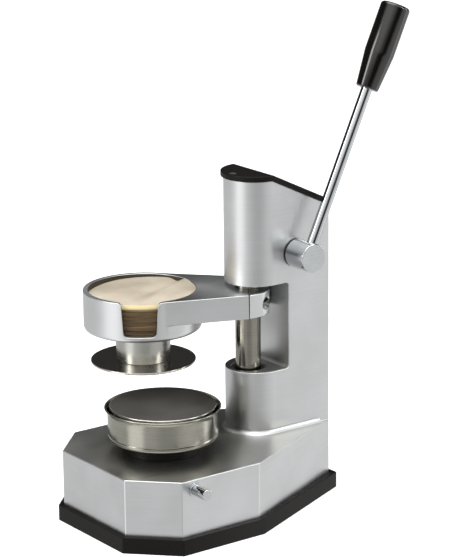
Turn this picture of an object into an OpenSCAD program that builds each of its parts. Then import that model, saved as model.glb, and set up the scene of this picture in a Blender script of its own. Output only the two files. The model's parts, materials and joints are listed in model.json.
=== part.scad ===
// Hand press for round patties: a cast base and column, a head on a sliding round rack,
// and a lever whose pinion drives the rack down. Axis of the mould is X = Y = 0, the table is Z = 0,
// the front is -Y and the lever is on the +X side.

/* [Base] */
// Width of the base casting between its two long sides
base_w = 176; // [150:1:215]
// Width of the flat front facet
front_facet_w = 102; // [80:1:125]
// From the mould axis to the front facet
base_front = 78; // [68:1:96]
// From the mould axis forward to where the long sides start
side_front = 41; // [30:1:50]
// From the mould axis back to where the sides start to converge
side_rear = 45; // [35:1:60]
// From the mould axis to the flat rear face
base_rear = 172; // [166:1:210]
// Height of the top face of the base above the table
base_top = 68; // [56:1:82]
// Wall of the base casting
base_wall = 6; // [4:0.5:8]

/* [Tray] */
// Height of the tray that the casting stands in
tray_h = 15.2; // [12:0.1:20]
// Floor of the tray
tray_floor = 3; // [2:0.5:5]
// How far the tray stands out past the casting
tray_lip = 4.8; // [3:0.1:8]
// How deep the casting sits in the tray
tray_seat = 4; // [2:0.5:6]

/* [Column] */
// Width of the column and of its round nose
column_w = 58.4; // [54:0.2:72]
// From the shaft axis back to the centre of the round nose
nose_back = 9; // [6:0.5:12]
// Height of the floor of the opening in the column
window_floor = 128.4; // [112:0.2:150]
// Height of the opening in the column
window_h = 83; // [76:0.5:100]
// From the shaft axis back to the rear wall of the opening
window_back = 26; // [24.5:0.5:30]
// Height of the top of the casting at the nose
column_top = 311.2; // [305:0.2:375]
// Slope of the top behind the shaft, in degrees
roof_slope = 26; // [15:1:28]
// From the nose centre forward to the crease where the slope starts
crease_forward = 1.5; // [0:0.5:4]
// Radius of the cove where the column meets the base
cove_r = 5; // [3:0.5:8]

/* [Cover] */
// Thickness of the cover on the column
cover_t = 5.2; // [4:0.2:8]
// How far the cover stands out past the column
cover_lip = 2.5; // [1:0.5:5]

/* [Mould] */
// Bore of the mould, which sets the diameter of the patty
mould_bore = 100; // [84:1:120]
// Sheet that the mould is pressed from
mould_wall = 1.2; // [0.8:0.1:2]
// Height of the mould
mould_h = 30.5; // [26:0.5:38]
// How far the rolled rim stands out past the mould wall
rim_out = 2.8; // [1.5:0.1:5]
// Height of the foot that holds the mould above the base
foot_h = 11; // [8:0.5:14]
// Diameter of the foot
foot_d = 76; // [70:1:82]
// Diameter of the spigot under the foot
spigot_d = 68; // [62:1:69]
// How deep the spigot reaches below the top face of the base
spigot_h = 14; // [13.5:0.5:15]

/* [Ejector] */
// Thickness of the ejector disc
disc_t = 2.4; // [2:0.2:5]
// How far the raised disc stands above the mould rim
disc_proud = 1; // [0:0.5:2]
// Diameter of the ejector stem
stem_d = 12; // [10:0.5:14]

/* [Press head] */
// Diameter of the press shaft
shaft_d = 24; // [20:0.2:29]
// From the mould axis to the shaft axis, which is also the reach of the arm
reach = 98.3; // [96:0.1:118]
// Angle that the head is swung to the side from above the mould
rest_swing = 34; // [0:1:34]
// Outside diameter of the paper holder
holder_d = 110.6; // [108:0.2:134]
// Wall of the paper holder
holder_wall = 4.8; // [4:0.2:8]
// Height of the paper holder
holder_h = 37.7; // [32:0.1:46]
// Floor of the paper holder
holder_floor = 5; // [4:0.5:8]
// Height of the top of the holder and arm above the table
head_top = 206.3; // [202:0.1:208]
// Height of the arm
arm_h = 22.8; // [19:0.1:27]
// Half width of the arm at the shaft
arm_half_mid = 33.5; // [30:0.5:36]
// Width of the finger notch at its bottom
notch_w = 30.5; // [29:0.5:31]
// Angle of the finger notch from the front of the holder
notch_angle = 87; // [85:2:87]
// Slit between the arm and its clamp cap
clamp_slit = 0.8; // [0.4:0.1:1.6]
// Diameter of the neck at the plate
neck_d = 49.4; // [44:0.2:56]
// Diameter of the neck at the holder
neck_top_d = 53; // [48:0.2:60]
// Thickness of the press plate
plate_t = 2; // [1.5:0.1:4]
// Height of the upper face of the press plate above the table
plate_top = 138.3; // [134:0.1:150]

/* [Lever] */
// Module of the rack and pinion
gear_m = 2; // [1.8:0.05:2]
// Teeth on the pinion
pinion_teeth = 24; // [22:1:24]
// Height of the lever axle above the table
axle_z = 239; // [236:0.5:250]
// Diameter of the lever axle
axle_d = 14; // [11:0.5:17]
// Diameter of the lever hub
hub_d = 27.2; // [24:0.2:33]
// Length of the lever hub
hub_l = 26.2; // [22:0.2:32]
// Diameter of the lever rod
rod_d = 10.5; // [8:0.5:13]
// From the axle to the lower end of the grip
grip_start = 164; // [120:1:200]
// Length of the grip
grip_l = 82.5; // [68:0.5:100]
// Largest diameter of the grip
grip_d = 28; // [24:0.5:34]
// Diameter of the grip at its lower end
grip_low_d = 21.5; // [18:0.5:23]
// Lean of the raised lever back from upright, in degrees
lever_lean = 25; // [10:1:35]

/* [Release plunger] */
// Diameter of the plunger knob
knob_d = 10.4; // [9:0.2:12]
// Length of the plunger knob
knob_l = 18; // [14:0.5:24]
// From the mould axis forward to the plunger
plunger_front = 27; // [25:0.5:28]
// Depth of the plunger axis below the top face of the base
plunger_drop = 9.2; // [8.5:0.1:9.5]

/* [Clearances] */
// Running clearance on radius, on shafts in their bushes
run = 0.05; // [0.02:0.01:0.15]
// Clearance on radius between the mould and the press plate
plate_gap = 0.75; // [0.5:0.05:1.5]
// Clearance on radius between the mould and the ejector disc
disc_gap = 0.5; // [0.3:0.05:1]
// Gap beside the pinion and around its tips
pinion_gap = 1.5; // [1:0.1:2]
// Backlash of the rack
backlash = 0.25; // [0.15:0.01:0.4]
// Gap between the casting and the tray rim
tray_gap = 0.3; // [0.1:0.1:0.6]

/* [Hidden] */

$fn = 96;
cut = 1;

// Base and tray
cast_z = tray_h - tray_seat;
under_top = base_top - base_wall;
screw_boss_d = 14;
tray_screw_d = 5;
tray_screw_head_d = 9;
tray_screw_head_h = 2;
tray_screw_l = 22;

// Column, from the shaft axis back
nose_y = reach + nose_back;
column_r = column_w / 2;
window_top = window_floor + window_h;
window_corner_r = 3;
window_y = reach + window_back;
crease_y = nose_y - crease_forward;
cast_skin = 6.5;

// Rack and pinion: the rack is a row of ring grooves, so the shaft can turn in it
shaft_r = shaft_d / 2;
pinion_r = gear_m * pinion_teeth / 2;
pinion_tip_r = pinion_r + gear_m;
pinion_root_r = pinion_r - 1.25 * gear_m;
pressure_angle = 20;
pinion_base_r = pinion_r * cos(pressure_angle);
pinion_w = 16;
tooth_pitch = PI * gear_m;
axle_y = reach + shaft_r - gear_m + pinion_r;
full_stroke = 50;
rack_teeth = ceil(full_stroke / tooth_pitch) + 2;
teeth_below = 2;
pocket_half = pinion_w / 2 + pinion_gap;
pocket_r = pinion_tip_r + pinion_gap;

// Bushes of the shaft
bush_wall = 3;
low_bush_wall = 4.2;
low_bush_sink = 4;
low_bush_l = 24;
up_bush_l = 8.6;
top_bush_l = 14;
low_bush_top = window_floor - low_bush_sink;
top_bush_z = axle_z + 21;

// Return spring under the shaft
shaft_bottom = low_bush_top - 28;
shaft_top = axle_z + (rack_teeth - 1) * tooth_pitch + tooth_pitch / 2 + 2;
spring_r = shaft_r - 2;
spring_wire = 2.5;
chamber_r = spring_r + spring_wire / 2 + 1.5;
seat_t = 3;
seat_z = shaft_bottom - seat_t;
plug_z = cast_z + 3;
plug_t = 7;
boss_r = chamber_r + 9;

// Lever axle, along X
axle_r = axle_d / 2;
axle_bush_r = axle_r + 3;
axle_plug_t = 3;
washer_gap = 0.15;
washer_t = 1.6;
hub_x = column_r + washer_gap + washer_t;
rod_x = hub_x + hub_l - 9.8;
axle_end_x = rod_x - rod_d / 2 - 1;
key_w = 5;
key_l = 14;
clip_t = 1.2;
lever_angle = 90 - lever_lean;
rod_in_hub = 2;
rod_in_grip = 28;
set_screw_d = 6;
set_screw_l = hub_d / 2 - axle_r - 1;

// Mould, foot and ejector
mould_z = base_top + foot_h;
mould_r = mould_bore / 2;
rim_z = mould_z + mould_h;
disc_z = rim_z + disc_proud - disc_t;
disc_r = mould_r - disc_gap;
stem_r = stem_d / 2;
eject_bush_wall = 3;
eject_bush_l = 18;
eject_bush_top = mould_z - 2;
eject_bush_z = eject_bush_top - eject_bush_l;
eject_clip_t = 1.2;
eject_clip_r = stem_r + 2.5;
stem_bottom = eject_bush_z - eject_clip_t - 2;
guide_bore_r = eject_clip_r + 0.8;
guide_wall = 2;
guide_z = cast_z + 1;
guide_floor = 2.5;
eject_wire = 1.6;
eject_spring_r = stem_r - eject_wire / 2;
spigot_r = spigot_d / 2;
spigot_wall = 10;
spigot_groove_r = spigot_r - 5;

// Release plunger, along X
plunger_z = base_top - plunger_drop;
plunger_y = -plunger_front;
pin_r = 3;
pin_tip_x = sqrt(pow(spigot_groove_r, 2) - pow(plunger_front - pin_r, 2)) + 2.2;
sleeve_r = knob_d / 2 + 0.8;
sleeve_flange = 1.5;
sleeve_flange_r = sleeve_r + 0.8;
sleeve_l = 22;
sleeve_end = 3;
sleeve_x = base_w / 2 - sleeve_l;
chamber_plunger_r = sleeve_r - 1.1;
plunger_clip_t = 1.5;
plunger_wire = 0.7;

// Head, drawn with the arm pointing forward and its shaft at the origin
holder_r = holder_d / 2;
holder_z = head_top - holder_h;
holder_bore_r = holder_r - holder_wall;
arm_z = head_top - arm_h;
cap_back = 19.5;
cap_back_half = 14;
cap_corner_half = 25.5;
cap_corner_back = 13;
clamp_screw_x = 19.6;
clamp_screw_d = 6;
clamp_head_d = 9.8;
clamp_head_h = 4.5;
clamp_seat = 8.5;
clamp_thread = 18;
clamp_screw_z = arm_z + arm_h / 2;
notch_corner_r = 4;
notch_sill = 0.6;
notch_flare = 4;
arm_run_out = 0.8;
plate_screw_d = 8;
plate_screw_head_d = 15;
plate_screw_in = 3.5;
plate_r = mould_r - plate_gap;
paper_gap = 0.6;
paper_drop = 1;

// Cover screws
cover_screw_d = 4;
cover_screw_head_d = 7;
cover_screw_head_h = 2.2;
cover_screw_l = 14;
cover_screw_y = nose_y - column_r + 4.2;
cover_rear_screw_y = base_rear - 5.5;

function inv(a) = tan(a) * 180 / PI - a;
function flank_angle(r) = let (a = acos(min(1, pinion_base_r / r)))
    90 / pinion_teeth + inv(pressure_angle) - inv(a);
function polar(r, a) = [r * cos(a), r * sin(a)];
function arc(c, r, a0, a1, n = 6) = [for (i = [0:n]) c + polar(r, a0 + (a1 - a0) * i / n)];
// Height of the sloping roof of the column at a distance back from the mould axis
function roof_z(y) = column_top - max(0, y - crease_y) * tan(roof_slope);

module at_shaft() {
    translate([0, reach, 0]) children();
}

module at_axle() {
    translate([0, axle_y, axle_z]) rotate([0, 90, 0]) children();
}

module at_lever(x) {
    translate([x, axle_y, axle_z]) rotate([lever_angle - 90, 0, 0]) children();
}

module at_plunger() {
    translate([0, plunger_y, plunger_z]) rotate([0, 90, 0]) children();
}

module at_head() {
    at_shaft() rotate([0, 0, -rest_swing]) children();
}

module tube(r, bore, h) {
    difference() {
        cylinder(r = r, h = h);
        translate([0, 0, -cut]) cylinder(r = bore, h = h + 2 * cut);
    }
}

// Plan of the base, grown outwards by g on every side
module base_plan(g = 0) {
    corner = g * 0.4;
    polygon([
        [-front_facet_w / 2 - corner, -base_front - g], [front_facet_w / 2 + corner, -base_front - g],
        [base_w / 2 + g, -side_front - corner], [base_w / 2 + g, side_rear + corner],
        [column_r + g * 1.2, base_rear + g], [-column_r - g * 1.2, base_rear + g],
        [-base_w / 2 - g, side_rear + corner], [-base_w / 2 - g, -side_front - corner]
    ]);
}

module column_plan(g = 0) {
    translate([0, nose_y]) circle(r = column_r + g);
    translate([-column_r - g, nose_y]) square([column_w + 2 * g, base_rear - nose_y]);
}

// A solid that is swept along X from its outline in the YZ plane
module along_x(w) {
    rotate([90, 0, 90]) translate([0, 0, -w / 2]) linear_extrude(w) children();
}

// A coil spring from z = 0 to z = h, with flat rings as its ground ends
module coil(r, wire, h, turns) {
    sides = 6;
    per_turn = 16;
    rings = turns * per_turn;
    wr = wire / 2;
    points = [for (i = [0:rings]) let (a = 360 * i / per_turn, z = wr + (h - wire) * i / rings)
        for (j = [0:sides - 1]) let (b = 360 * j / sides, q = r + wr * cos(b))
            [q * cos(a), q * sin(a), z + wr * sin(b) * 0.98]];
    faces = concat(
        [[for (j = [0:sides - 1]) j]],
        [for (i = [0:rings - 1], j = [0:sides - 1]) let (k = (j + 1) % sides)
            [i * sides + j, (i + 1) * sides + j, (i + 1) * sides + k, i * sides + k]],
        [[for (j = [sides - 1:-1:0]) rings * sides + j]]);
    polyhedron(points, faces, convexity = 8);
}

// The cove that rounds the foot of the column into the base
module column_cove() {
    module cove_section() {
        polygon(concat([[-cut, -cut], [cove_r, -cut]], arc([cove_r, cove_r], cove_r, 270, 180)));
    }
    translate([0, nose_y, base_top]) rotate([0, 0, 180]) rotate_extrude(angle = 180)
        translate([column_r, 0]) cove_section();
    // The straight coves end where the converging sides of the base come in under them
    cove_end = base_rear - cove_r * (base_rear - side_rear) / (base_w / 2 - column_r);
    for (side = [0, 1]) mirror([side, 0, 0]) translate([column_r, cove_end, base_top])
        rotate([90, 0, 0]) linear_extrude(cove_end - nose_y) cove_section();
}

module screw_places() {
    for (side = [-1, 1]) {
        translate([side * (front_facet_w / 2 - 6), -base_front + 14, 0]) children();
        translate([side * (base_w / 2 - 14), side_rear - 6, 0]) children();
        translate([side * 17, base_rear - 14, 0]) children();
    }
}

module column_solid() {
    intersection() {
        translate([0, 0, cast_z]) linear_extrude(column_top - cast_z) column_plan();
        along_x(column_w + 2 * cut) polygon([
            [nose_y - column_r - cut, cast_z - cut], [base_rear + cut, cast_z - cut],
            [base_rear + cut, roof_z(base_rear + cut)], [crease_y, column_top],
            [nose_y - column_r - cut, column_top]
        ]);
    }
}

// The opening through the column that the arm swings in
module window() {
    c = window_corner_r;
    front = nose_y - column_r - cut;
    along_x(column_w + 2 * cut) polygon(concat(
        [[front, window_top], [front, window_floor]],
        arc([window_y - c, window_floor + c], c, 270, 360),
        arc([window_y - c, window_top - c], c, 0, 90)));
}

module base_cavity() {
    difference() {
        translate([0, 0, cast_z - cut]) linear_extrude(under_top - cast_z + cut) base_plan(-base_wall);
        translate([0, 0, cast_z - 2 * cut]) screw_places() cylinder(d = screw_boss_d, h = base_top);
        at_shaft() translate([0, 0, cast_z - 2 * cut]) cylinder(r = boss_r, h = base_top);
    }
    // Core that lightens the column behind the opening
    core_y = window_y + cast_skin;
    translate([-column_r + cast_skin, core_y, under_top - cut])
        cube([column_w - 2 * cast_skin, base_rear - cast_skin - core_y, window_top - under_top - cast_skin]);
}

module body_casting() {
    color("#b9b9b6") difference() {
        union() {
            translate([0, 0, cast_z]) linear_extrude(base_top - cast_z) base_plan();
            column_solid();
            column_cove();
        }
        window();
        base_cavity();
        screw_places() translate([0, 0, cast_z - cut]) cylinder(d = tray_screw_d, h = tray_screw_l);
        at_shaft() {
            translate([0, 0, cast_z - cut]) cylinder(r = chamber_r, h = low_bush_top - cast_z);
            translate([0, 0, low_bush_top - low_bush_l])
                cylinder(r = shaft_r + low_bush_wall, h = low_bush_l + low_bush_sink + cut);
            translate([0, 0, window_top - cut])
                cylinder(r = shaft_r + bush_wall, h = top_bush_z + top_bush_l - window_top + cut);
            translate([0, 0, window_top]) cylinder(r = shaft_r + 0.6, h = column_top - window_top + cut);
        }
        // Room for the pinion, open to the top under the cover
        at_axle() translate([0, 0, -pocket_half]) cylinder(r = pocket_r, h = 2 * pocket_half);
        translate([-pocket_half, reach, axle_z])
            cube([2 * pocket_half, axle_y + pocket_r - reach, column_top - axle_z + cut]);
        at_axle() translate([0, 0, -column_r - cut]) cylinder(r = axle_bush_r, h = column_w + 2 * cut);
        // Mould spigot, ejector bush and release plunger
        translate([0, 0, under_top - cut]) cylinder(r = spigot_r + tray_gap, h = base_wall + 2 * cut);
        at_plunger() translate([0, 0, sleeve_x]) cylinder(r = sleeve_r, h = sleeve_l + cut);
        cover_screw_holes(cover_screw_d, cover_screw_l, 0);
    }
}

module base_tray() {
    color("#1f1c19") difference() {
        linear_extrude(tray_h) base_plan(tray_lip);
        translate([0, 0, cast_z]) linear_extrude(tray_h) base_plan(tray_gap);
        translate([0, 0, tray_floor]) linear_extrude(tray_h) base_plan(-base_wall - screw_boss_d);
        screw_places() {
            translate([0, 0, -cut]) cylinder(d = tray_screw_d, h = tray_h);
            translate([0, 0, -cut]) cylinder(d = tray_screw_head_d, h = tray_screw_head_h + 1 + cut);
        }
    }
}

module tray_screws() {
    color("#8d8f92") screw_places() translate([0, 0, 1]) {
        cylinder(d = tray_screw_head_d, h = tray_screw_head_h);
        cylinder(d = tray_screw_d, h = tray_screw_l);
    }
}

// Holes or screws at the two ends of the cover, square to the face that they go into
module cover_screw_holes(d, l, head) {
    translate([0, cover_screw_y, column_top - l]) cylinder(d = d, h = l + cut + head);
    translate([0, cover_rear_screw_y, roof_z(cover_rear_screw_y)]) rotate([-roof_slope, 0, 0])
        translate([0, 0, -l]) cylinder(d = d, h = l + cut + head);
}

module column_cover() {
    front = nose_y - column_r - cover_lip - cut;
    rear = base_rear + cut;
    color("#241f1a") difference() {
        intersection() {
            translate([0, 0, roof_z(base_rear) - cut])
                linear_extrude(column_top + cover_t - roof_z(base_rear) + 2 * cut)
                    column_plan(cover_lip);
            along_x(column_w + 4 * cover_lip) polygon([
                [front, column_top], [crease_y, column_top], [rear, roof_z(rear)],
                [rear, roof_z(rear) + cover_t], [crease_y, column_top + cover_t],
                [front, column_top + cover_t]
            ]);
        }
        cover_screw_holes(cover_screw_d, cover_screw_l, cover_t);
        translate([0, cover_screw_y, column_top + cover_t - cover_screw_head_h])
            cylinder(d = cover_screw_head_d, h = cover_t);
        rear_screw_seat() cylinder(d = cover_screw_head_d, h = cover_t);
    }
}

// The seat of the rear cover screw, on the slope
module rear_screw_seat() {
    translate([0, cover_rear_screw_y, roof_z(cover_rear_screw_y)]) rotate([-roof_slope, 0, 0])
        translate([0, 0, cover_t * cos(roof_slope) - cover_screw_head_h]) children();
}

module cover_screw() {
    difference() {
        union() {
            translate([0, 0, -cover_screw_l + cover_t])
                cylinder(d = cover_screw_d, h = cover_screw_l - cover_t + cut);
            cylinder(d = cover_screw_head_d, h = cover_screw_head_h - 0.3);
        }
        translate([-cover_screw_head_d, -0.5, cover_screw_head_h - 1.1]) cube([2 * cover_screw_head_d, 1, 2]);
    }
}

module cover_screws() {
    color("#a9abad") {
        translate([0, cover_screw_y, column_top + cover_t - cover_screw_head_h]) cover_screw();
        rear_screw_seat() cover_screw();
    }
}

module lower_bush() {
    color("#b08d4f") at_shaft() translate([0, 0, low_bush_top - low_bush_l])
        tube(shaft_r + low_bush_wall, shaft_r + run, low_bush_l);
}

module upper_bush() {
    color("#b08d4f") at_shaft() translate([0, 0, window_top])
        tube(shaft_r + bush_wall, shaft_r + run, up_bush_l);
}

module top_bush() {
    color("#b08d4f") at_shaft() translate([0, 0, top_bush_z])
        tube(shaft_r + bush_wall, shaft_r + run, top_bush_l);
}

module axle_bush_left() {
    color("#b08d4f") at_axle() translate([0, 0, -column_r + axle_plug_t])
        tube(axle_bush_r, axle_r + run, column_r - axle_plug_t - pocket_half);
}

module axle_bush_right() {
    color("#b08d4f") at_axle() translate([0, 0, pocket_half])
        tube(axle_bush_r, axle_r + run, column_r - pocket_half);
}

module axle_end_plug() {
    color("#241f1a") at_axle() translate([0, 0, -column_r]) cylinder(r = axle_bush_r, h = axle_plug_t - 0.2);
}

// The mould is a pressed cup with a bead at its foot and a rim that is rolled outwards
module mould_bowl() {
    w = mould_wall;
    ro = mould_r + w;
    flare = rim_out;
    color("#a8a79c") translate([0, 0, mould_z]) rotate_extrude() polygon(concat(
        [[stem_r + 2, 0], [ro - 3, 0]],
        arc([ro - 3, 3], 3, 270, 360),
        [[ro, mould_h - 2 * flare]],
        [[ro + 0.3 * flare, mould_h - 1.1 * flare], [ro + flare, mould_h - w], [ro + flare, mould_h]],
        [[ro + flare - w, mould_h], [mould_r + 0.3 * flare, mould_h - 0.8 * flare]],
        [[mould_r, mould_h - 2 * flare]],
        arc([mould_r - 2, 2 + w], 2, 0, -90),
        [[stem_r + 2, w]]));
}

module mould_foot() {
    color("#4a4742") difference() {
        rotate_extrude() polygon([
            [spigot_r - spigot_wall, base_top - spigot_h], [spigot_r, base_top - spigot_h],
            [spigot_r, plunger_z - pin_r - 0.7], [spigot_groove_r, plunger_z - pin_r - 0.7],
            [spigot_groove_r, plunger_z + pin_r + 0.7], [spigot_r, plunger_z + pin_r + 0.7],
            [spigot_r, base_top], [foot_d / 2, base_top], [foot_d / 2, mould_z],
            [stem_r + eject_bush_wall, mould_z], [stem_r + eject_bush_wall, eject_bush_z + 2],
            [stem_r + eject_bush_wall + 3, eject_bush_z + 2], [stem_r + eject_bush_wall + 3, mould_z - 4],
            [spigot_r - spigot_wall, mould_z - 4]
        ]);
    }
}

module ejector_bush() {
    color("#b08d4f") translate([0, 0, eject_bush_z])
        tube(stem_r + eject_bush_wall, stem_r + run, eject_bush_l);
}

// Cup that holds the ejector spring, screwed up under the foot
module ejector_guide() {
    r = guide_bore_r + guide_wall;
    color("#77797a") difference() {
        translate([0, 0, guide_z]) cylinder(r = r, h = eject_bush_z + 2 - guide_z);
        translate([0, 0, guide_z + guide_floor]) cylinder(r = guide_bore_r, h = base_top);
    }
}

module ejector_spring() {
    color("#9a9c9e") translate([0, 0, guide_z + guide_floor])
        coil(eject_spring_r, eject_wire, stem_bottom - guide_z - guide_floor, 5);
}

module return_spring() {
    color("#9a9c9e") at_shaft() translate([0, 0, plug_z + plug_t])
        coil(spring_r, spring_wire, seat_z - plug_z - plug_t, 6);
}

module spring_plug() {
    color("#77797a") at_shaft() translate([0, 0, plug_z]) {
        cylinder(r = chamber_r, h = plug_t);
        cylinder(r = spring_r - spring_wire / 2 - 0.5, h = plug_t + 5);
    }
}

// Sleeve of the release plunger, with its spring chamber
module plunger_sleeve() {
    color("#c4c6c8") at_plunger() difference() {
        union() {
            translate([0, 0, sleeve_x]) cylinder(r = sleeve_r, h = sleeve_l);
            translate([0, 0, base_w / 2]) cylinder(r = sleeve_flange_r, h = sleeve_flange);
        }
        translate([0, 0, sleeve_x - cut]) cylinder(r = pin_r + run, h = sleeve_l + sleeve_flange + 2 * cut);
        translate([0, 0, sleeve_x + sleeve_end])
            cylinder(r = chamber_plunger_r, h = sleeve_l - sleeve_end - 2);
    }
}

module plunger_spring() {
    z0 = sleeve_x + sleeve_end + 0.2 + plunger_clip_t;
    color("#9a9c9e") at_plunger() translate([0, 0, z0])
        coil(pin_r + 0.5 + plunger_wire / 2, plunger_wire, base_w / 2 - 2 - z0, 7);
}

module release_plunger() {
    head_x = base_w / 2 + sleeve_flange + 0.2;
    color("#c4c6c8") at_plunger() {
        translate([0, 0, pin_tip_x]) cylinder(r = pin_r, h = head_x - pin_tip_x + cut);
        translate([0, 0, head_x]) cylinder(d = knob_d, h = knob_l);
    }
}

module plunger_clip() {
    color("#77797a") at_plunger() translate([0, 0, sleeve_x + sleeve_end + 0.2])
        tube(chamber_plunger_r - 0.3, pin_r, plunger_clip_t);
}

// Round shaft with ring grooves of rack form beside the pinion
module press_shaft() {
    half = tooth_pitch / 4 + backlash / 2;
    add = gear_m * tan(pressure_angle);
    ded = 1.25 * gear_m * tan(pressure_angle);
    root = shaft_r - 2.25 * gear_m;
    grooves = [for (k = [-teeth_below:rack_teeth - 1]) let (z = axle_z + k * tooth_pitch)
        each [[shaft_r, z - half - add], [root, z - half + ded],
            [root, z + half - ded], [shaft_r, z + half + add]]];
    color("#c9cac8") at_shaft() rotate_extrude() polygon(concat(
        [[0, shaft_bottom], [shaft_r - 1, shaft_bottom], [shaft_r, shaft_bottom + 1]],
        grooves,
        [[shaft_r, shaft_top - 1], [shaft_r - 1, shaft_top], [0, shaft_top]]));
}

module spring_seat() {
    color("#77797a") at_shaft() {
        translate([0, 0, seat_z]) cylinder(r = chamber_r - 0.6, h = seat_t);
        translate([0, 0, seat_z - 4]) cylinder(r = spring_r - spring_wire / 2 - 0.5, h = 4 + cut);
    }
}

// Outline of the arm in front of the slit, whose sides run out along the side of the holder.
// They touch a circle a little smaller than the holder, so that they cross its side cleanly.
module arm_plan() {
    slit = clamp_slit / 2;
    r = holder_r - arm_run_out;
    length = reach - slit;
    angle = atan2(length, arm_half_mid) - acos(r / norm([arm_half_mid, length]));
    touch = r * [cos(angle), sin(angle)] - [0, reach];
    polygon([
        [-arm_half_mid, -slit], [-touch[0], touch[1]], [-touch[0] * 0.8, -reach],
        [touch[0] * 0.8, -reach], touch, [arm_half_mid, -slit]
    ]);
}

// Outline of the clamp cap behind the slit
module cap_plan() {
    slit = clamp_slit / 2;
    polygon([
        [-arm_half_mid, slit], [arm_half_mid, slit], [cap_corner_half, cap_corner_back],
        [cap_back_half, cap_back], [-cap_back_half, cap_back], [-cap_corner_half, cap_corner_back]
    ]);
}

// Finger notch with a low sill, narrow at the bottom and flared at the top
module notch() {
    w = notch_w / 2;
    c = notch_corner_r;
    f = notch_flare;
    bottom = holder_z + holder_floor + notch_sill;
    lean = 1.5;
    function side(s) = concat(
        [for (p = arc([w - c, bottom + c], c, 270, 360)) [s * p[0], p[1]]],
        [for (p = arc([w + lean + f, head_top - f], f, 180, 90)) [s * p[0], p[1]]],
        [[s * (w + lean + f), head_top + cut]]);
    right = side(1);
    left = side(-1);
    translate([0, -reach, 0]) rotate([0, 0, notch_angle]) rotate([90, 0, 0])
        linear_extrude(holder_r + cut)
            polygon(concat(right, [for (i = [len(left) - 1:-1:0]) left[i]]));
}

module holder_profile() {
    e = 4;
    polygon(concat(
        [[0, holder_z], [holder_r - e, holder_z]],
        arc([holder_r - e, holder_z + e], e, 270, 360),
        [[holder_r, head_top], [0, head_top]]));
}

module clamp_screw_places() {
    for (side = [-1, 1]) translate([side * clamp_screw_x, 0, clamp_screw_z]) rotate([-90, 0, 0]) children();
}

module press_arm() {
    color("#b9b9b6") at_head() difference() {
        union() {
            translate([0, -reach, 0]) rotate_extrude() holder_profile();
            translate([0, 0, arm_z]) linear_extrude(arm_h) arm_plan();
        }
        translate([0, -reach, holder_z + holder_floor]) cylinder(r = holder_bore_r, h = holder_h);
        translate([0, 0, arm_z - cut]) cylinder(r = shaft_r + run, h = arm_h + 2 * cut);
        notch();
        clamp_screw_places() translate([0, 0, -clamp_thread])
            cylinder(d = clamp_screw_d, h = clamp_thread + cut);
        translate([0, -reach, holder_z - cut]) cylinder(d = plate_screw_d, h = plate_screw_in + cut);
    }
}

module arm_clamp_cap() {
    color("#b9b9b6") at_head() difference() {
        translate([0, 0, arm_z]) linear_extrude(arm_h) cap_plan();
        translate([0, 0, arm_z - cut]) cylinder(r = shaft_r + run, h = arm_h + 2 * cut);
        clamp_screw_places() {
            cylinder(d = clamp_screw_d, h = cap_back + cut);
            translate([0, 0, clamp_seat]) cylinder(d = clamp_head_d + 0.8, h = cap_back);
        }
    }
}

module clamp_screws() {
    color("#6d6e6c") at_head() clamp_screw_places() difference() {
        union() {
            translate([0, 0, -clamp_thread]) cylinder(d = clamp_screw_d, h = clamp_thread + clamp_seat + cut);
            translate([0, 0, clamp_seat]) cylinder(d = clamp_head_d, h = clamp_head_h);
        }
        translate([0, 0, clamp_seat + 1.5]) cylinder(d = 5.8, h = clamp_head_h, $fn = 6);
    }
}

module plate_neck() {
    sink = (plate_screw_head_d - plate_screw_d) / 2;
    color("#a3a3a0") at_head() translate([0, -reach, 0]) difference() {
        translate([0, 0, plate_top]) cylinder(d1 = neck_d, d2 = neck_top_d, h = holder_z - plate_top);
        translate([0, 0, plate_top - cut]) cylinder(d = plate_screw_d, h = holder_z - plate_top + 2 * cut);
        translate([0, 0, plate_top - plate_t])
            cylinder(d1 = plate_screw_head_d, d2 = plate_screw_d, h = sink);
    }
}

module press_plate() {
    color("#1d1a17") at_head() translate([0, -reach, plate_top - plate_t]) difference() {
        cylinder(r = plate_r, h = plate_t);
        translate([0, 0, -cut]) cylinder(d = plate_screw_d, h = plate_t + 2 * cut);
        cylinder(d1 = plate_screw_head_d, d2 = plate_screw_d, h = (plate_screw_head_d - plate_screw_d) / 2);
    }
}

module plate_screw() {
    head_h = (plate_screw_head_d - plate_screw_d) / 2;
    color("#8d8f92") at_head() translate([0, -reach, plate_top - plate_t]) difference() {
        union() {
            cylinder(d1 = plate_screw_head_d, d2 = plate_screw_d, h = head_h);
            cylinder(d = plate_screw_d, h = holder_z + plate_screw_in - plate_top + plate_t);
        }
        translate([0, 0, -cut]) cylinder(d = 5.8, h = 3 + cut, $fn = 6);
    }
}

// Stack of paper discs in the holder
module paper_discs() {
    color("#d9cdb4") at_head() translate([0, -reach, holder_z + holder_floor])
        cylinder(r = holder_bore_r - paper_gap, h = holder_h - holder_floor - paper_drop);
}

module keyway() {
    translate([-axle_r - key_w / 2, -key_w / 2, -key_l / 2]) cube([key_w, key_w, key_l]);
}

module lever_axle() {
    x0 = -column_r + axle_plug_t + 0.3;
    color("#8d8f92") at_axle() difference() {
        translate([0, 0, x0]) cylinder(r = axle_r, h = axle_end_x - x0);
        keyway();
        translate([0, 0, -pinion_w / 2 - clip_t]) tube(axle_r + cut, axle_r - 0.8, clip_t);
    }
}

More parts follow.
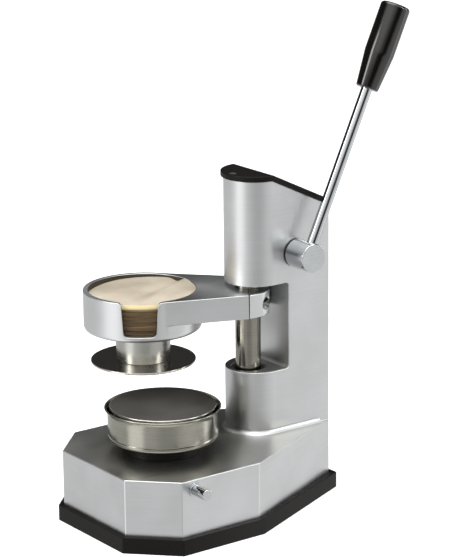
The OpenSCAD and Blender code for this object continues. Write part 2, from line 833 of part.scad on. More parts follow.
module drive_pinion() {
    radii = [pinion_root_r, pinion_base_r, pinion_r - gear_m * 0.3, pinion_r + gear_m * 0.35, pinion_tip_r];
    function half_tooth(s) = [for (r = radii) polar(r, s * flank_angle(max(r, pinion_base_r)))];
    // One tooth points along the rack, at the side of the shaft
    outline = [for (k = [0:pinion_teeth - 1]) let (turn = 360 * k / pinion_teeth - 90)
        each [for (p = concat(half_tooth(-1), [for (i = [len(radii) - 1:-1:0]) half_tooth(1)[i]]))
            [p[0] * cos(turn) - p[1] * sin(turn), p[0] * sin(turn) + p[1] * cos(turn)]]];
    color("#8d8f92") at_axle() difference() {
        translate([0, 0, -pinion_w / 2]) linear_extrude(pinion_w) polygon(outline);
        translate([0, 0, -pinion_w]) cylinder(r = axle_r, h = 2 * pinion_w);
        translate([-axle_r - key_w / 2, -key_w / 2, -pinion_w]) cube([key_w, key_w, 2 * pinion_w]);
    }
}

module pinion_key() {
    color("#77797a") at_axle() keyway();
}

module axle_circlip() {
    color("#5c5d5e") at_axle() translate([0, 0, -pinion_w / 2 - clip_t])
        tube(axle_r + 2, axle_r - 0.8, clip_t);
}

module hub_washer() {
    color("#241f1a") at_axle() translate([0, 0, column_r + washer_gap])
        tube(hub_d / 2 - 0.6, axle_r, washer_t);
}

module lever_hub() {
    color("#c4c6c8") difference() {
        at_axle() translate([0, 0, hub_x]) cylinder(d = hub_d, h = hub_l);
        at_axle() translate([0, 0, hub_x - cut]) cylinder(r = axle_r, h = axle_end_x - hub_x + cut);
        at_lever(rod_x) translate([0, 0, rod_in_hub]) cylinder(d = rod_d, h = hub_d);
        at_lever(hub_x + set_screw_d) rotate([180, 0, 0]) cylinder(d = set_screw_d, h = hub_d);
    }
}

module hub_set_screw() {
    color("#5c5d5e") at_lever(hub_x + set_screw_d)
        rotate([180, 0, 0]) translate([0, 0, axle_r]) difference() {
        cylinder(d = set_screw_d, h = set_screw_l);
        translate([0, 0, set_screw_l - 3]) cylinder(d = 3.4, h = 3 + cut, $fn = 6);
    }
}

module lever_rod() {
    color("#c4c6c8") at_lever(rod_x) translate([0, 0, rod_in_hub])
        cylinder(d = rod_d, h = grip_start + rod_in_grip - rod_in_hub);
}

module lever_grip() {
    r = grip_d / 2;
    low = grip_low_d / 2;
    dome = 3;
    color("#161514") at_lever(rod_x) translate([0, 0, grip_start]) difference() {
        rotate_extrude() polygon(concat(
            [[0, 0], [low - 1.5, 0]],
            arc([low - 1.5, 1.5], 1.5, 270, 360),
            [[r, grip_l * 0.42]],
            arc([r - dome, grip_l - dome - 0.8], dome, 0, 75),
            [[0, grip_l]]));
        translate([0, 0, -cut]) cylinder(d = rod_d, h = rod_in_grip + cut);
    }
}

module ejector_disc() {
    color("#3d3c39") translate([0, 0, disc_z]) difference() {
        cylinder(r = disc_r, h = disc_t);
        translate([0, 0, -cut]) cylinder(r = stem_r - 2, h = disc_t - 1 + cut);
    }
}

module ejector_stem() {
    color("#8d8f92") difference() {
        union() {
            translate([0, 0, stem_bottom]) cylinder(r = stem_r, h = disc_z - stem_bottom);
            translate([0, 0, disc_z - cut]) cylinder(r = stem_r - 2, h = disc_t - 1 + cut);
        }
        translate([0, 0, eject_bush_z - eject_clip_t]) tube(stem_r + cut, stem_r - 1, eject_clip_t);
    }
}

module ejector_clip() {
    color("#5c5d5e") translate([0, 0, eject_bush_z - eject_clip_t])
        tube(eject_clip_r, stem_r - 1, eject_clip_t);
}

body_casting();
base_tray();
tray_screws();
column_cover();
cover_screws();
lower_bush();
upper_bush();
top_bush();
axle_bush_left();
axle_bush_right();
axle_end_plug();
mould_bowl();
mould_foot();
ejector_bush();
ejector_guide();
ejector_spring();
return_spring();
spring_plug();
plunger_sleeve();
plunger_spring();
press_shaft();
spring_seat();
press_arm();
arm_clamp_cap();
clamp_screws();
plate_neck();
press_plate();
plate_screw();
paper_discs();
lever_axle();
drive_pinion();
pinion_key();
axle_circlip();
hub_washer();
lever_hub();
hub_set_screw();
lever_rod();
lever_grip();
ejector_disc();
ejector_stem();
ejector_clip();
release_plunger();
plunger_clip();
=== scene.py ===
# Hand press for round patties: looks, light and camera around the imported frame.
# Lengths in the dictionaries are millimetres.
import json
import math
import random

import bpy
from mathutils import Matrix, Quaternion, Vector


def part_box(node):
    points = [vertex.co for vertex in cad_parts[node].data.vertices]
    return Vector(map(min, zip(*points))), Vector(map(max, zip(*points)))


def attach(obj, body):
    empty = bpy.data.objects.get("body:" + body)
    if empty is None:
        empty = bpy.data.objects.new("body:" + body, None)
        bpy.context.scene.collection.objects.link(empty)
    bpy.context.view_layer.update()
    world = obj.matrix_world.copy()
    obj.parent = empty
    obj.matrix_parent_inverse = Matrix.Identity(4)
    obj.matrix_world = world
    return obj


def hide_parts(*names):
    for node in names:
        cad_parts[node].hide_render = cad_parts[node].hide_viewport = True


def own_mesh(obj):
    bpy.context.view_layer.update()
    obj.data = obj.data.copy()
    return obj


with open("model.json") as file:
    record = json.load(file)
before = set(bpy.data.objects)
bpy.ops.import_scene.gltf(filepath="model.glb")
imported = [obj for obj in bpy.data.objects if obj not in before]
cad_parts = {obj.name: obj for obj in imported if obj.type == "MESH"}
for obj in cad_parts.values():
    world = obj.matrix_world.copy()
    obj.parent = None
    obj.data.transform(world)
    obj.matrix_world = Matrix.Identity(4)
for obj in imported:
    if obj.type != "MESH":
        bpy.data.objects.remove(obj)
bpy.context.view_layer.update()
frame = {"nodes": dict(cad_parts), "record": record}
mm = 0.001
scene = bpy.context.scene
print("frame loaded:", len(frame["nodes"]), "nodes")

cameraView = {
    "azimuth": 53.78,  # degrees round from the front, towards +X
    "elevation": 15.55,
    "roll": -0.54,
    "aim": (-3.4, 86.3, 214.7),
    "distance": 2334,
    "lens": 162.3,
}
studio = {
    "floorWhite": "#F4F4F2",
    "floorSize": 30,  # metres
    "floorGlow": 0.45,
    "backdropWhite": 1.0,
    "overhead": 1.25,  # brightness of the big box above
    "horizon": 0.036,  # the unlit room behind the boxes
    "boxLean": 0.33,  # how far the box above hangs towards the camera
    "below": 0.72,  # light coming up from the white table
    "tableEnds": (-0.12, 0.04),  # heights between which the table gives way to the room
    "overheadStarts": (0.46, 0.74),  # and the room to the box above
    "boxFade": 0.05,  # half the height over which a standing box fades out
    # azimuth from +X, half its width, softness, brightness, and the heights where it starts and ends
    "frontBox": (-94, 17, 5, 0.75, -1.1, 0.4),
    "sideBox": (66, 8, 2, 4.0, -0.08, 0.4),
    "sideBoxOnTable": (66, 6, 2, 0.9, -1.1, -0.08),
    "openSide": (36, 26, 14, 0.1, -1.1, -0.06),  # a paler stretch of the table
    "cameraGap": (-26, 16, 12, 0.25),  # the dark gap round the camera, as a share taken away
}


def linear(hexColour):
    # sRGB hex to the linear colour that the shaders take
    values = [int(hexColour[i : i + 2], 16) / 255 for i in (1, 3, 5)]
    return tuple(v / 12.92 if v <= 0.04045 else ((v + 0.055) / 1.055) ** 2.4 for v in values) + (1.0,)


def addNode(tree, kind, inputs=None, **settings):
    # adds one node; a value in inputs is either a number or the output that feeds it
    node = tree.nodes.new(kind)
    for name, value in settings.items():
        setattr(node, name, value)
    for name, value in (inputs or {}).items():
        if isinstance(value, bpy.types.NodeSocket):
            tree.links.new(value, node.inputs[name])
        else:
            node.inputs[name].default_value = value
    return node


def setUpCamera():
    a = math.radians(cameraView["azimuth"])
    e = math.radians(cameraView["elevation"])
    back = Vector((math.sin(a) * math.cos(e), -math.cos(a) * math.cos(e), math.sin(e)))
    data = bpy.data.cameras.new("camera")
    data.lens = cameraView["lens"]
    data.sensor_width = 36
    data.clip_start, data.clip_end = 0.1, 60
    camera = bpy.data.objects.new("camera", data)
    scene.collection.objects.link(camera)
    camera.location = (Vector(cameraView["aim"]) + back * cameraView["distance"]) * mm
    camera.rotation_mode = "QUATERNION"
    turn = Quaternion((0, 0, 1), math.radians(cameraView["roll"]))
    camera.rotation_quaternion = (-back).to_track_quat("-Z", "Y") @ turn
    scene.camera = camera


def softBoxShare(tree, direction, azimuth, halfWidth, softness):
    # 1 towards that azimuth and 0 away from it, with a soft border
    a = math.radians(azimuth)
    outside = math.cos(math.radians(halfWidth + softness))
    inside = math.cos(math.radians(max(halfWidth - softness, 0)))
    flat = addNode(tree, "ShaderNodeVectorMath", {0: direction, 1: (1, 1, 0)}, operation="MULTIPLY")
    unit = addNode(tree, "ShaderNodeVectorMath", {0: flat.outputs[0]}, operation="NORMALIZE")
    along = addNode(
        tree,
        "ShaderNodeVectorMath",
        {0: unit.outputs[0], 1: (math.cos(a), math.sin(a), 0)},
        operation="DOT_PRODUCT",
    )
    share = addNode(
        tree,
        "ShaderNodeMapRange",
        {"Value": along.outputs["Value"], "From Min": outside, "From Max": inside},
        interpolation_type="SMOOTHSTEP",
    )
    return share.outputs[0]


def setUpWorld():
    world = bpy.data.worlds.new("studio")
    world.use_nodes = True
    scene.world = world
    tree = world.node_tree
    tree.nodes.clear()
    direction = addNode(tree, "ShaderNodeTexCoord").outputs["Generated"]
    height = addNode(tree, "ShaderNodeSeparateXYZ", {0: direction}).outputs["Z"]
    # Brightness by height: the table below, the unlit room at eye level, the box above
    low, high = studio["tableEnds"]
    table, dark = studio["below"], studio["horizon"]
    fromBelow = addNode(
        tree,
        "ShaderNodeMapRange",
        {"Value": height, "From Min": low, "From Max": high, "To Min": table, "To Max": dark},
        interpolation_type="SMOOTHSTEP",
    ).outputs[0]
    towardsCamera = math.radians(cameraView["azimuth"] - 90)
    lean = studio["boxLean"]
    leaning = addNode(
        tree,
        "ShaderNodeVectorMath",
        {0: direction, 1: (lean * math.cos(towardsCamera), lean * math.sin(towardsCamera), 1)},
        operation="DOT_PRODUCT",
    ).outputs["Value"]
    low, high = studio["overheadStarts"]
    fromAbove = addNode(
        tree,
        "ShaderNodeMapRange",
        {"Value": leaning, "From Min": low, "From Max": high, "To Min": 0.0, "To Max": studio["overhead"]},
        interpolation_type="SMOOTHSTEP",
    ).outputs[0]
    room = addNode(tree, "ShaderNodeMath", {0: fromBelow, 1: fromAbove}, operation="ADD").outputs[0]
    *gapPlace, gapDepth = studio["cameraGap"]
    gap = softBoxShare(tree, direction, *gapPlace)
    keep = addNode(tree, "ShaderNodeMath", {0: gap, 1: -gapDepth, 2: 1.0}, operation="MULTIPLY_ADD")
    total = addNode(tree, "ShaderNodeMath", {0: room, 1: keep.outputs[0]}, operation="MULTIPLY").outputs[0]
    fade = studio["boxFade"]
    for name in ("frontBox", "sideBox", "sideBoxOnTable", "openSide"):
        *place, brightness, lowest, highest = studio[name]
        share = softBoxShare(tree, direction, *place)
        overBottom = addNode(
            tree,
            "ShaderNodeMapRange",
            {"Value": height, "From Min": lowest - fade, "From Max": lowest + fade},
        ).outputs[0]
        underTop = addNode(
            tree,
            "ShaderNodeMapRange",
            {"Value": height, "From Min": highest + fade, "From Max": highest - fade},
        ).outputs[0]
        share = addNode(tree, "ShaderNodeMath", {0: share, 1: overBottom}, operation="MULTIPLY").outputs[0]
        lit = addNode(tree, "ShaderNodeMath", {0: share, 1: underTop}, operation="MULTIPLY").outputs[0]
        total = addNode(
            tree, "ShaderNodeMath", {0: lit, 1: brightness, 2: total}, operation="MULTIPLY_ADD"
        ).outputs[0]
    seen = addNode(tree, "ShaderNodeLightPath").outputs["Is Camera Ray"]
    shown = addNode(
        tree, "ShaderNodeMix", {0: seen, 2: total, 3: studio["backdropWhite"]}, data_type="FLOAT"
    ).outputs[0]
    background = addNode(tree, "ShaderNodeBackground", {"Color": (1, 1, 1, 1), "Strength": shown})
    addNode(tree, "ShaderNodeOutputWorld", {"Surface": background.outputs[0]})


def setUpFloor():
    bpy.ops.mesh.primitive_plane_add(size=studio["floorSize"], location=(0, 0, 0))
    floor = bpy.context.active_object
    floor.name = "floor"
    floor.visible_glossy = False  # the white table in reflections is part of the world
    material = bpy.data.materials.new("white table")
    material.use_nodes = True
    tree = material.node_tree
    tree.nodes.clear()
    paint = addNode(tree, "ShaderNodeBsdfDiffuse", {"Color": linear(studio["floorWhite"])})
    glow = addNode(tree, "ShaderNodeEmission", {"Color": (1, 1, 1, 1), "Strength": studio["floorGlow"]})
    both = addNode(tree, "ShaderNodeAddShader", {0: paint.outputs[0], 1: glow.outputs[0]})
    seen = addNode(tree, "ShaderNodeLightPath").outputs["Is Camera Ray"]
    mixed = addNode(tree, "ShaderNodeMixShader", {0: seen, 1: paint.outputs[0], 2: both.outputs[0]})
    addNode(tree, "ShaderNodeOutputMaterial", {"Surface": mixed.outputs[0]})
    floor.data.materials.append(material)


softLights = {  # place and size in metres, power in watts
    "light over the press": {"place": (0.1, -0.2, 1.9), "size": (1.6, 1.6), "power": 22},
    "light from the front": {"place": (-0.3, -1.7, 0.9), "size": (0.5, 1.1), "power": 9},
    "light from the right": {"place": (1.3, 1.0, 0.9), "size": (0.4, 0.9), "power": 6},
}
lightAim = Vector((0, 0.05, 0.15))


def addSoftLight(name, place, size, power):
    data = bpy.data.lights.new(name, "AREA")
    data.shape = "RECTANGLE"
    data.size, data.size_y = size
    data.energy = power
    light = bpy.data.objects.new(name, data)
    scene.collection.objects.link(light)
    light.location = place
    light.rotation_euler = (lightAim - Vector(place)).to_track_quat("-Z", "Y").to_euler()


def setUpStudio():
    scene.view_settings.view_transform = "Standard"
    setUpCamera()
    setUpWorld()
    setUpFloor()
    for name, light in softLights.items():
        addSoftLight(name, light["place"], light["size"], light["power"])
    print("camera, floor and light are set up")


def startMaterial(name, **values):
    # a Principled shader with its even values set on its own sockets
    material = bpy.data.materials.new(name)
    material.use_nodes = True
    tree = material.node_tree
    tree.nodes.clear()
    shader = addNode(tree, "ShaderNodeBsdfPrincipled")
    addNode(tree, "ShaderNodeOutputMaterial", {"Surface": shader.outputs[0]})
    for socket, value in values.items():
        shader.inputs[socket.replace("_", " ")].default_value = value
    return material, tree, shader


def objectPlace(tree, scale=(1, 1, 1), centre=(0, 0, 0)):
    # Object coordinates, centred on the piece and then scaled
    place = addNode(tree, "ShaderNodeTexCoord").outputs["Object"]
    moved = addNode(tree, "ShaderNodeMapping", {"Vector": place, "Location": centre}, vector_type="TEXTURE")
    scaled = addNode(
        tree, "ShaderNodeMapping", {"Vector": moved.outputs[0], "Scale": scale}, vector_type="POINT"
    )
    return scaled.outputs[0]


def finishShader(tree, shader, colour, roughness, height, depth, strength):
    # links the patterns to the shader; depth is the height of the relief, in metres
    tree.links.new(colour, shader.inputs["Base Color"])
    if roughness is not None:
        tree.links.new(roughness, shader.inputs["Roughness"])
    bump = addNode(tree, "ShaderNodeBump", {"Height": height, "Strength": strength, "Distance": depth})
    tree.links.new(bump.outputs[0], shader.inputs["Normal"])


def brushedCastAluminium(name, dark, light):
    # Cast aluminium, belt ground and brushed: a satin light grey with fine level lines on the
    # upright faces and lines along the press on its tops. Belt lines are 0.2 mm apart; they are
    # drawn 0.9 mm apart so that they show.
    lineGap, lineLength = 0.9 * mm, 45 * mm
    cloudSize = 40 * mm  # the casting's skin is a little cloudy over about this
    relief = 0.02 * mm
    material, tree, shader = startMaterial(name, Metallic=1.0, Anisotropic=0.35)
    level = objectPlace(tree, (1 / lineLength, 1 / lineLength, 1 / lineGap))
    lengthways = objectPlace(tree, (1 / lineGap, 1 / lineLength, 1 / lineLength))
    onSides = addNode(tree, "ShaderNodeTexNoise", {"Vector": level, "Scale": 1.0, "Detail": 3.0})
    onTops = addNode(tree, "ShaderNodeTexNoise", {"Vector": lengthways, "Scale": 1.0, "Detail": 3.0})
    facing = addNode(tree, "ShaderNodeTexCoord").outputs["Normal"]
    upward = addNode(tree, "ShaderNodeSeparateXYZ", {0: facing}).outputs["Z"]
    steepness = addNode(tree, "ShaderNodeMath", {0: upward}, operation="ABSOLUTE").outputs[0]
    isTop = addNode(tree, "ShaderNodeMapRange", {"Value": steepness, "From Min": 0.5, "From Max": 0.8})
    lines = addNode(
        tree,
        "ShaderNodeMix",
        {0: isTop.outputs[0], 2: onSides.outputs[0], 3: onTops.outputs[0]},
        data_type="FLOAT",
    ).outputs[0]
    cloudPlace = objectPlace(tree, (1 / cloudSize, 1 / cloudSize, 1 / cloudSize))
    cloud = addNode(tree, "ShaderNodeTexNoise", {"Vector": cloudPlace, "Scale": 1.0, "Detail": 2.0})
    tone = addNode(
        tree, "ShaderNodeMath", {0: lines, 1: 0.5, 2: cloud.outputs[0]}, operation="MULTIPLY_ADD"
    ).outputs[0]
    share = addNode(tree, "ShaderNodeMapRange", {"Value": tone, "From Min": 0.55, "From Max": 0.95})
    colour = addNode(
        tree, "ShaderNodeMix", {0: share.outputs[0], 6: linear(dark), 7: linear(light)}, data_type="RGBA"
    )
    rough = addNode(
        tree,
        "ShaderNodeMapRange",
        {"Value": tone, "From Min": 0.55, "From Max": 0.95, "To Min": 0.33, "To Max": 0.38},
    )
    finishShader(tree, shader, colour.outputs[2], rough.outputs[0], lines, relief, 0.2)
    around = addNode(tree, "ShaderNodeTangent", direction_type="RADIAL", axis="Z")
    tree.links.new(around.outputs[0], shader.inputs["Tangent"])
    return material


def mouldedPlastic(name, dark, light, roughness):
    # ABS moulded in a spark-eroded tool: brown-black, satin, with a fine even grain.
    # The grain is 0.3 mm; it is drawn at 0.8 mm so that it shows.
    grainSize, relief = 0.8 * mm, 0.04 * mm
    cloudSize = 33.33 * mm
    material, tree, shader = startMaterial(name, IOR=1.54, Roughness=roughness, Specular_IOR_Level=0.15)
    place = objectPlace(tree)
    grain = addNode(tree, "ShaderNodeTexNoise", {"Vector": place, "Scale": 1 / grainSize, "Detail": 2.0})
    cloud = addNode(tree, "ShaderNodeTexNoise", {"Vector": place, "Scale": 1 / cloudSize})
    colour = addNode(
        tree, "ShaderNodeMix", {0: cloud.outputs[0], 6: linear(dark), 7: linear(light)}, data_type="RGBA"
    )
    smoothest, roughest = roughness - 0.05, roughness + 0.08
    rough = addNode(
        tree,
        "ShaderNodeMapRange",
        {
            "Value": grain.outputs[0],
            "From Min": 0.3,
            "From Max": 0.7,
            "To Min": smoothest,
            "To Max": roughest,
        },
    )
    finishShader(tree, shader, colour.outputs[2], rough.outputs[0], grain.outputs[0], relief, 0.3)
    return material


def ringedMetal(name, dark, light, roughness, lineGap, centre=(0, 0, 0), bump=0.25):
    # Metal turned or ground on a lathe: fine rings round the piece's upright axis, and a faint
    # cloudiness in the polish over some 17 mm
    relief, cloudSize = 0.01 * mm, 16.67 * mm
    material, tree, shader = startMaterial(name, Metallic=1.0)
    place = objectPlace(tree, (1, 1, 1), centre)
    height = addNode(tree, "ShaderNodeSeparateXYZ", {0: place}).outputs["Z"]
    rings = addNode(
        tree, "ShaderNodeTexNoise", {"W": height, "Scale": 1 / lineGap, "Detail": 3.0}, noise_dimensions="1D"
    ).outputs[0]
    cloud = addNode(tree, "ShaderNodeTexNoise", {"Vector": place, "Scale": 1 / cloudSize, "Detail": 3.0})
    tone = addNode(tree, "ShaderNodeMath", {0: rings, 1: cloud.outputs[0]}, operation="ADD").outputs[0]
    share = addNode(tree, "ShaderNodeMapRange", {"Value": tone, "From Min": 0.7, "From Max": 1.3})
    colour = addNode(
        tree, "ShaderNodeMix", {0: share.outputs[0], 6: linear(dark), 7: linear(light)}, data_type="RGBA"
    )
    rough = addNode(
        tree,
        "ShaderNodeMapRange",
        {
            "Value": tone,
            "From Min": 0.7,
            "From Max": 1.3,
            "To Min": roughness * 0.8,
            "To Max": roughness * 1.25,
        },
    )
    finishShader(tree, shader, colour.outputs[2], rough.outputs[0], rings, relief, bump)
    return material


def nonStickCoating():
    # Aluminium sprayed with a non-stick coating and baked: dark grey, matt, with a fine
    # speckle and slightly cloudy where it has been wiped. The speckle is 0.2 mm, drawn at 1 mm.
    speckSize, cloudSize, relief = 1.0 * mm, 45.45 * mm, 0.05 * mm
    material, tree, shader = startMaterial("non-stick coating", IOR=1.38, Roughness=0.42)
    place = objectPlace(tree)
    speck = addNode(tree, "ShaderNodeTexNoise", {"Vector": place, "Scale": 1 / speckSize, "Detail": 4.0})
    cloud = addNode(tree, "ShaderNodeTexNoise", {"Vector": place, "Scale": 1 / cloudSize, "Detail": 1.0})
    tone = addNode(
        tree,
        "ShaderNodeMath",
        {0: speck.outputs[0], 1: 0.35, 2: cloud.outputs[0]},
        operation="MULTIPLY_ADD",
    ).outputs[0]
    share = addNode(tree, "ShaderNodeMapRange", {"Value": tone, "From Min": 0.5, "From Max": 0.9})
    colour = addNode(
        tree,
        "ShaderNodeMix",
        {0: share.outputs[0], 6: linear("#2E2C28"), 7: linear("#454340")},
        data_type="RGBA",
    )
    rough = addNode(
        tree,
        "ShaderNodeMapRange",
        {"Value": tone, "From Min": 0.5, "From Max": 0.9, "To Min": 0.36, "To Max": 0.5},
    )
    finishShader(tree, shader, colour.outputs[2], rough.outputs[0], speck.outputs[0], relief, 0.3)
    return material


def glossyGrip():
    # Phenolic moulded in a polished tool: black, deep gloss, a faint flow pattern under the shine
    flowAcross, flowAlong, relief = 16.67 * mm, 55.56 * mm, 0.03 * mm
    material, tree, shader = startMaterial(
        "polished black phenolic", IOR=1.6, Coat_Weight=0.3, Coat_Roughness=0.04
    )
    place = objectPlace(tree, (1 / flowAcross, 1 / flowAcross, 1 / flowAlong))
    flow = addNode(tree, "ShaderNodeTexNoise", {"Vector": place, "Scale": 1.0, "Detail": 3.0}).outputs[0]
    colour = addNode(
        tree, "ShaderNodeMix", {0: flow, 6: linear("#070605"), 7: linear("#100E0C")}, data_type="RGBA"
    )
    rough = addNode(
        tree,
        "ShaderNodeMapRange",
        {"Value": flow, "From Min": 0.3, "From Max": 0.7, "To Min": 0.08, "To Max": 0.13},
    )
    finishShader(tree, shader, colour.outputs[2], rough.outputs[0], flow, relief, 0.2)
    return material


def waxedPaper():
    # Glassine interleaving paper: cream, smooth and half clear, so light shines in it a little;
    # soft cockles over some 35 mm where it has taken up damp
    cockleSize, fibreLength, fibreWidth, relief = 35.71 * mm, 3.333 * mm, 1.111 * mm, 0.03 * mm
    material, tree, shader = startMaterial(
        "waxed interleaving paper",
        IOR=1.45,
        Subsurface_Weight=0.15,
        Subsurface_Scale=0.002,
        Coat_Weight=0.25,
        Coat_Roughness=0.2,
    )
    place = objectPlace(tree)
    cloud = addNode(tree, "ShaderNodeTexNoise", {"Vector": place, "Scale": 1 / cockleSize, "Detail": 2.0})
    fibrePlace = objectPlace(tree, (1 / fibreWidth, 1 / fibreLength, 1 / fibreLength))
    fibre = addNode(tree, "ShaderNodeTexNoise", {"Vector": fibrePlace, "Scale": 1.0, "Detail": 3.0})
    share = addNode(
        tree, "ShaderNodeMapRange", {"Value": cloud.outputs[0], "From Min": 0.3, "From Max": 0.7}
    )
    colour = addNode(
        tree,
        "ShaderNodeMix",
        {0: share.outputs[0], 6: linear("#B0A592"), 7: linear("#CCC2B0")},
        data_type="RGBA",
    )
    rough = addNode(
        tree,
        "ShaderNodeMapRange",
        {"Value": cloud.outputs[0], "From Min": 0.3, "From Max": 0.7, "To Min": 0.3, "To Max": 0.42},
    )
    finishShader(tree, shader, colour.outputs[2], rough.outputs[0], fibre.outputs[0], relief, 0.25)
    return material


def paperEdges(topHeight):
    # Cut edges of a stack of waxed paper, streaky along the sheets: brown lower down as painted shade,
    # pale yellow in the top few sheets as painted light from above
    sheetGap, streakLength, relief = 0.9 * mm, 35.71 * mm, 0.1 * mm
    paintedShadeBelow, paintedLightAbove = topHeight - 8.5 * mm, topHeight - 3.0 * mm
    material, tree, shader = startMaterial("cut edges of waxed paper with painted shade and light", IOR=1.45, Roughness=0.55)
    height = addNode(tree, "ShaderNodeSeparateXYZ", {0: objectPlace(tree)}).outputs["Z"]
    streakPlace = objectPlace(tree, (1 / streakLength, 1 / streakLength, 1 / sheetGap))
    streaks = addNode(
        tree,
        "ShaderNodeTexNoise",
        {"Vector": streakPlace, "Scale": 1.0, "Detail": 4.0, "Roughness": 0.65},
    ).outputs[0]
    share = addNode(tree, "ShaderNodeMapRange", {"Value": streaks, "From Min": 0.35, "From Max": 0.7})
    # painted shade: brown streaks on the lower edges
    brown = addNode(
        tree,
        "ShaderNodeMix",
        {0: share.outputs[0], 6: linear("#2C2117"), 7: linear("#77603B")},
        data_type="RGBA",
    )
    # painted light: the top few sheets fade to pale yellow
    paintedLightShare = addNode(
        tree,
        "ShaderNodeMapRange",
        {"Value": height, "From Min": paintedShadeBelow, "From Max": paintedLightAbove},
        interpolation_type="SMOOTHSTEP",
    )
    colour = addNode(
        tree,
        "ShaderNodeMix",
        {0: paintedLightShare.outputs[0], 6: brown.outputs[2], 7: linear("#F3DFA9")},
        data_type="RGBA",
    )
    finishShader(tree, shader, colour.outputs[2], None, streaks, relief, 0.5)
    return material


def deselectAll():
    for piece in bpy.context.selected_objects:
        piece.select_set(False)


def makeActive(piece):
    deselectAll()
    piece.select_set(True)
    bpy.context.view_layer.objects.active = piece


def smoothBy(piece, degrees):
    # smooth over the round edges, and flat on the big faces
    makeActive(piece)
    bpy.ops.object.shade_smooth_by_angle(angle=math.radians(degrees))
    weights = piece.modifiers.new("even shading", "WEIGHTED_NORMAL")
    weights.keep_sharp = True
    bpy.ops.object.modifier_apply(modifier=weights.name)


def roundEdges(piece, width, segments=3, degrees=32):
    makeActive(piece)
    bevel = piece.modifiers.new("rounded edges", "BEVEL")
    bevel.width = width * mm
    bevel.segments = segments
    bevel.limit_method = "ANGLE"
    bevel.angle_limit = math.radians(degrees)
    bevel.use_clamp_overlap = False
    bevel.miter_outer = "MITER_ARC"
    bpy.ops.object.modifier_apply(modifier=bevel.name)


def copyOfNode(nodeName, pieceName, edge=0.0, segments=3, degrees=32):
    # A merged copy of a CAD node's mesh, with its sharp edges rounded as the real ones are
    source = frame["nodes"][nodeName]
    piece = bpy.data.objects.new(pieceName, source.data.copy())
    scene.collection.objects.link(piece)
    piece.data.materials.clear()
    makeActive(piece)
    bpy.ops.mesh.customdata_custom_splitnormals_clear()
    bpy.ops.object.mode_set(mode="EDIT")
    bpy.ops.mesh.select_all(action="SELECT")
    bpy.ops.mesh.remove_doubles(threshold=0.004 * mm)
    bpy.ops.mesh.dissolve_limited(angle_limit=math.radians(0.5))
    bpy.ops.object.mode_set(mode="OBJECT")
    if edge:
        roundEdges(piece, edge, segments, degrees)
    smoothBy(piece, 34)
    return piece


def turnedPiece(name, profile, sides=128, closed=False):
    # A piece turned on a lathe: a circle that is extruded and scaled from station to station.
    # profile is a list of (radius, height). An open profile is closed by flat ends.
    firstRadius, firstHeight = profile[0]
    deselectAll()
    bpy.ops.mesh.primitive_circle_add(
        vertices=sides,
        radius=firstRadius * mm,
        fill_type="NOTHING" if closed else "NGON",
        location=(0, 0, firstHeight * mm),
    )
    piece = bpy.context.active_object
    piece.name = name
    bpy.ops.object.transform_apply(location=True)
    bpy.ops.object.mode_set(mode="EDIT")
    bpy.ops.mesh.select_all(action="SELECT")
    if not closed:
        bpy.ops.mesh.flip_normals()
    stations = profile[1:] + ([profile[0]] if closed else [])
    for (oldRadius, oldHeight), (radius, height) in zip([profile[0]] + stations, stations):
        bpy.ops.mesh.extrude_region_move(TRANSFORM_OT_translate={"value": (0, 0, (height - oldHeight) * mm)})
        share = radius / oldRadius
        bpy.ops.transform.resize(value=(share, share, 1), center_override=(0, 0, height * mm))
    bpy.ops.mesh.select_all(action="SELECT")
    bpy.ops.mesh.remove_doubles(threshold=0.002 * mm)
    bpy.ops.mesh.normals_make_consistent(inside=False)
    bpy.ops.object.mode_set(mode="OBJECT")
    return piece


def arcStations(centreRadius, centreHeight, radius, fromDegrees, toDegrees, steps=6):
    # stations on a round corner of a turned profile
    angles = [math.radians(fromDegrees + (toDegrees - fromDegrees) * i / steps) for i in range(steps + 1)]
    return [(centreRadius + radius * math.cos(a), centreHeight + radius * math.sin(a)) for a in angles]


def putAt(piece, centre, turn=(0, 0, 0)):
    # turns and moves a piece made round the Z axis, and leaves its object at the origin
    piece.rotation_euler = turn
    piece.location = centre
    makeActive(piece)
    bpy.ops.object.transform_apply(location=True, rotation=True, scale=True)
    return piece


def finishPiece(piece, body, slotName, material, *replaced):
    if material is not None:
        piece.data.materials.clear()
        piece.data.materials.append(material)
    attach(piece, body)
    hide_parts(*replaced)
    return piece


def centreOf(nodeName):
    low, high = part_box(nodeName)
    return (low + high) / 2


setUpStudio()

# what several pieces are made of
aluminium = brushedCastAluminium("brushed cast aluminium", "#D2D3D3", "#DBDCDD")
# a darker copy of the cast aluminium: painted shade for the level tops under the head
paintedShadeAluminium = brushedCastAluminium("cast aluminium with painted shade", "#B2B2AE", "#BDBDB9")
blackAbs = mouldedPlastic("moulded black ABS", "#0B0A08", "#13110E", 0.45)
chrome = ringedMetal("polished chrome plate", "#BFC2C4", "#D0D3D5", 0.07, 0.7 * mm, bump=0.03)
# dark brown metal: painted shade on the head ring's inner wall above the paper
paintedBoreShade = ringedMetal("dark aluminium as painted shade in the bore", "#4A463D", "#5E5A50", 0.5, 0.5 * mm)
machinedSteel = ringedMetal("machined steel", "#8E9092", "#A6A8AA", 0.3, 0.4 * mm)
zincScrew = ringedMetal("zinc plated screw steel", "#D9DBDC", "#ECEEEF", 0.28, 0.3 * mm, bump=0.1)
blackScrew = ringedMetal("black oxide screw steel", "#3A3836", "#4C4A47", 0.32, 0.3 * mm, bump=0.1)
bronze = ringedMetal("oiled turned bronze", "#5C4A2C", "#75603A", 0.28, 0.5 * mm)
springWire = ringedMetal("drawn spring wire", "#8A8C8E", "#A2A4A6", 0.25, 1.2 * mm)
# the foot under the bowl: near black as painted shade in the gap under the bowl
paintedShadeFoot = mouldedPlastic("near-black foot as painted shade under the bowl", "#0E0D0C", "#171613", 0.4)


